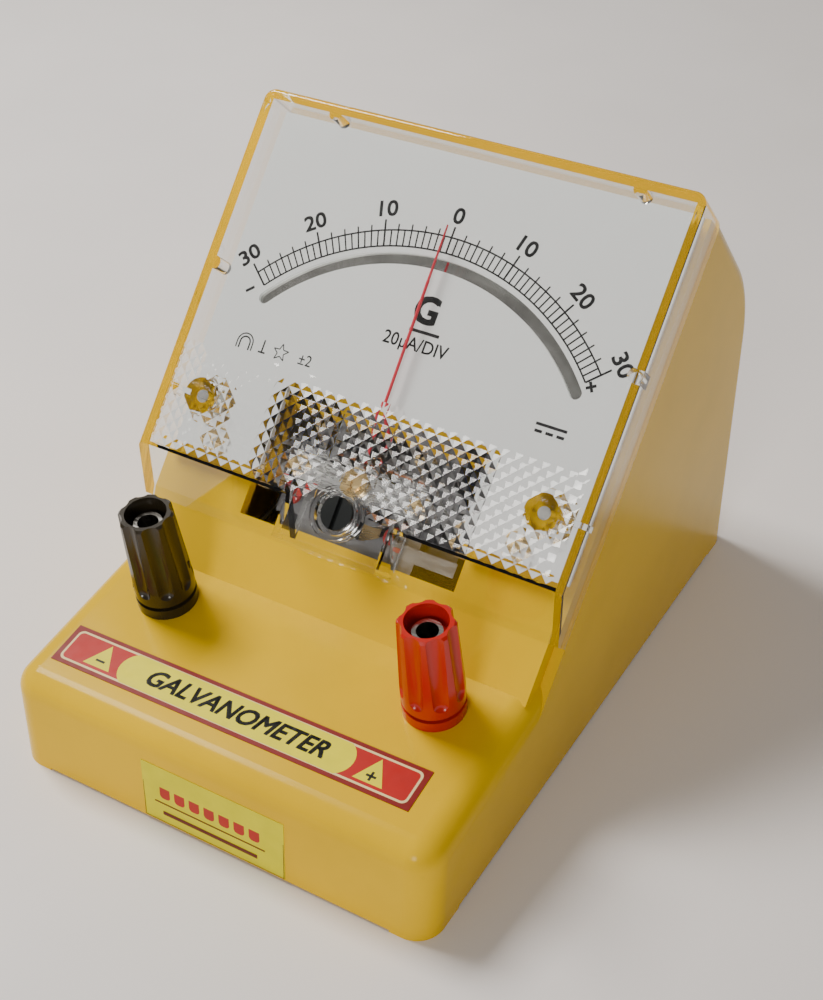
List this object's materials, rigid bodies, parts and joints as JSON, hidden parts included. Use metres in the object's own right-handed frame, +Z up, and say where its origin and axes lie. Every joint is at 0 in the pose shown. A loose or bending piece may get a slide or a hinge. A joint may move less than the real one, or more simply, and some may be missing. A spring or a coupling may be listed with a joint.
{
  "type": "galvanometer",
  "caption": "Desk-stand moving-coil galvanometer with a sloping dial under a clear cover, a zero adjuster and binding posts.",
  "frame": {"origin": "middle of the case's footprint, on the surface it stands on", "axes": "+X to the right seen from the front, +Y from the binding posts towards the back wall, +Z up"},
  "size_m": [0.092, 0.1351, 0.1011],
  "materials": {
    "case_yellow": "satin moulded yellow plastic, fine texture",
    "base_grey": "dark grey moulded plastic",
    "plain_screw": "zinc plated steel",
    "clear_plastic": "clear acrylic, knurled at its foot",
    "adjuster_black": "black plastic",
    "spring_steel": "hardened steel",
    "dial_grey": "pale grey printed dial",
    "dial_mirror": "silvered strip",
    "brass_parts": "turned brass",
    "soft_iron": "ground soft iron",
    "magnet_grey": "cast magnet alloy",
    "bridge_alloy": "plain aluminium",
    "frame_grey": "dull dark zinc plate",
    "former_alloy": "thin aluminium",
    "copper_wire": "enamelled copper wire",
    "hairspring_bronze": "phosphor bronze strip",
    "needle_red": "thin tube painted red",
    "jewel_red": "synthetic sapphire",
    "post_black": "moulded black plastic",
    "post_red": "moulded red plastic",
    "post_metal": "nickel plated brass",
    "insulator_grey": "hard fibre",
    "lead_black": "insulated wire",
    "lead_red": "insulated wire",
    "label_print": "printed adhesive label, no wording kept",
    "sticker_yellow": "plain adhesive sticker, no wording kept",
    "dial_ink": "black printing ink",
    "label_maroon": "dark red printed lines",
    "label_cream": "cream printed lines and triangles",
    "label_lemon": "lemon printed field"
  },
  "bodies": {
    "case": {"case_shell": "case_yellow", "base_plate": "base_grey", "base_plate_screws": "plain_screw", "meter_cover": "clear_plastic", "cover_screws": "plain_screw", "dial_plate": "dial_grey", "mirror_strip": "dial_mirror", "dial_screws": "brass_parts", "movement_frame": "frame_grey", "movement_screws": "plain_screw", "pointer_stops": "brass_parts", "pole_pieces": "soft_iron", "magnet": "magnet_grey", "core": "soft_iron", "core_clamp": "brass_parts", "back_plate": "brass_parts", "pole_screws": "plain_screw", "front_bridge": "bridge_alloy", "rear_bridge": "bridge_alloy", "bridge_screws": "brass_parts", "front_jewel_screw": "brass_parts", "rear_jewel_screw": "brass_parts", "jewels": "jewel_red", "lock_nuts": "brass_parts", "movement_lugs": "brass_parts", "black_terminal_base": "post_black", "black_stem": "post_metal", "red_terminal_base": "post_red", "red_stem": "post_metal", "post_insulators": "insulator_grey", "post_nuts": "post_metal", "solder_tags": "post_metal", "black_lead": "lead_black", "red_lead": "lead_red", "label_strip": "label_print", "front_sticker": "sticker_yellow"},
    "moving_coil": {"coil_former": "former_alloy", "coil_winding": "copper_wire", "pivot_staffs": "spring_steel", "front_hairspring": "hairspring_bronze", "rear_hairspring": "hairspring_bronze", "pointer": "needle_red", "balance_arms": "former_alloy", "balance_weights": "brass_parts"},
    "adjuster": {"zero_adjuster": "adjuster_black", "adjuster_clip": "spring_steel"},
    "lever": {"zero_lever": "bridge_alloy"},
    "black_washer": {"black_clamp_washer": "post_metal"},
    "black_nut": {"black_cap": "post_black"},
    "red_washer": {"red_clamp_washer": "post_metal"},
    "red_nut": {"red_cap": "post_red"}
  },
  "joints": [
    {"name": "needle_swing", "type": "hinge", "parent": "case", "child": "moving_coil", "pos_m": [0, -0.00858, 0.04314], "axis": [0, -0.7373, 0.6756], "range_deg": [-50.7, 49.2], "stiffness_Nm_per_rad": 0.0002, "deforming": ["front_hairspring", "rear_hairspring"]},
    {"name": "zero_adjust", "type": "hinge", "parent": "case", "child": "adjuster", "pos_m": [0, -0.0128, 0.03853], "axis": [0, -0.7373, 0.6756], "range_deg": [-45, 45]},
    {"name": "zero_lever_turn", "type": "hinge", "parent": "case", "child": "lever", "pos_m": [0, -0.00858, 0.04314], "axis": [0, -0.7373, 0.6756], "range_deg": [-8, 8]},
    {"name": "black_washer_lift", "type": "slide", "parent": "case", "child": "black_washer", "axis": [0, -0.1444, 0.9895], "range_m": [0, 0.003]},
    {"name": "black_cap_turn", "type": "hinge", "parent": "black_washer", "child": "black_nut", "pos_m": [-0.0297, -0.03742, 0.02539], "axis": [0, -0.1444, 0.9895], "range_deg": [0, 1080]},
    {"name": "red_washer_lift", "type": "slide", "parent": "case", "child": "red_washer", "axis": [0, -0.1444, 0.9895], "range_m": [0, 0.003]},
    {"name": "red_cap_turn", "type": "hinge", "parent": "red_washer", "child": "red_nut", "pos_m": [0.0297, -0.03742, 0.02539], "axis": [0, -0.1444, 0.9895], "range_deg": [0, 1080]}
  ],
  "couplings": [
    {"joint": "zero_lever_turn", "follows": "zero_adjust", "ratio": 0.17219},
    {"joint": "black_cap_turn", "follows": "black_washer_lift", "rad_per_m": 6283.2},
    {"joint": "red_cap_turn", "follows": "red_washer_lift", "rad_per_m": 6283.2}
  ]
}
